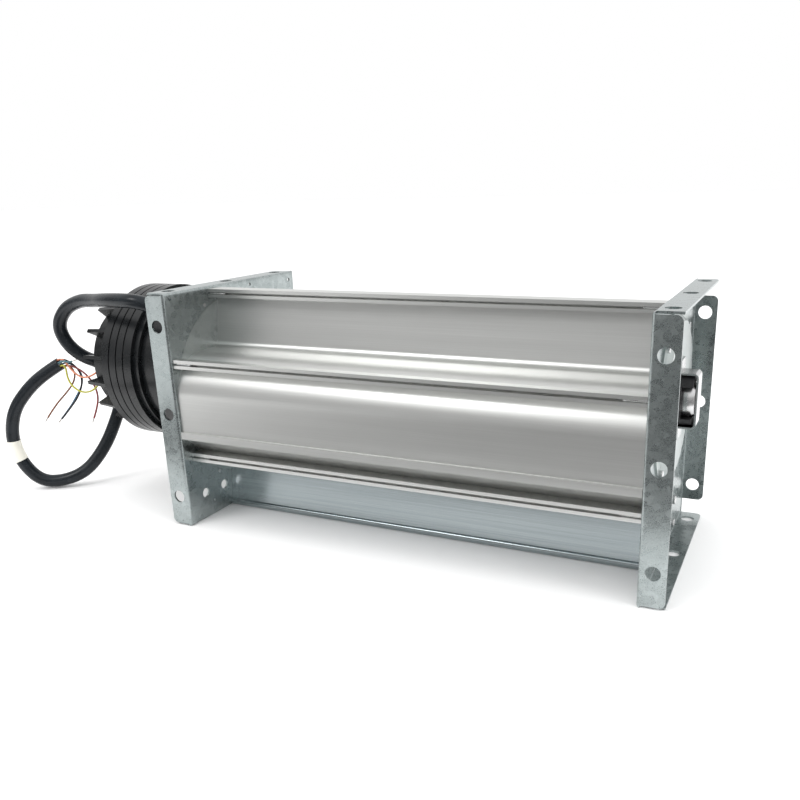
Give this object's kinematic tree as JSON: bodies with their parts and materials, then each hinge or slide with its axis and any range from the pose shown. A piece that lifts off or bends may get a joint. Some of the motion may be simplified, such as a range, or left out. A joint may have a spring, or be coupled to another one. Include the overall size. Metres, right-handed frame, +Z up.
{
  "type": "cross flow fan",
  "caption": "Cross flow fan with folded end plates, extruded scroll, long bladed impeller, outer rotor motor and a looped supply cable.",
  "frame": {"origin": "middle of the bottom bolt pattern, on the underside of the end plates' bottom flanges", "axes": "+X along the impeller towards the bearing side, +Y from front to rear, +Z up"},
  "size_m": [0.571, 0.165, 0.18],
  "materials": {
    "galvanised": "spangled zinc",
    "extrusion": "mill finish, drawn along its length",
    "impeller_metal": "rolled sheet",
    "bright_steel": "bright",
    "black_motor": "black satin paint",
    "stator_core": "laminated core",
    "rubber": "moulded",
    "cable_sheath": "extruded sheath",
    "label": "blank sleeve",
    "brown_core": "insulation",
    "blue_core": "insulation",
    "black_core": "insulation",
    "red_core": "insulation",
    "pink_core": "insulation",
    "green_core": "insulation",
    "teal_core": "insulation"
  },
  "bodies": {
    "housing": {"motor_side_plate": "galvanised", "bearing_side_plate": "galvanised", "outlet_sheet": "galvanised", "cover_disc": "galvanised", "bearing_dish": "galvanised", "front_shell": "extrusion", "rear_guide": "extrusion", "channel_screws": "bright_steel", "cover_screws": "bright_steel", "bracket_screws": "bright_steel", "dish_screws": "bright_steel", "bearing_bush": "bright_steel", "bearing_strap": "bright_steel", "motor_bearings": "bright_steel", "motor_bracket": "black_motor", "stator": "stator_core", "rubber_ring": "rubber", "cable_gland": "rubber", "cable": "cable_sheath", "cable_label": "label", "brown_wire": "brown_core", "blue_wire": "blue_core", "black_wire": "black_core", "red_wire": "red_core", "pink_wire": "pink_core", "green_wire": "green_core", "teal_wire": "teal_core"},
    "impeller": {"impeller_cage": "impeller_metal", "motor_end_disc": "impeller_metal", "bearing_end_disc": "impeller_metal", "motor_shaft": "bright_steel", "bearing_shaft": "bright_steel", "rotor": "black_motor"}
  },
  "joints": [
    {"name": "impeller_spin", "type": "hinge", "parent": "housing", "child": "impeller", "pos_m": [0, 0, 0.112], "axis": [1, 0, 0], "continuous": true}
  ]
}
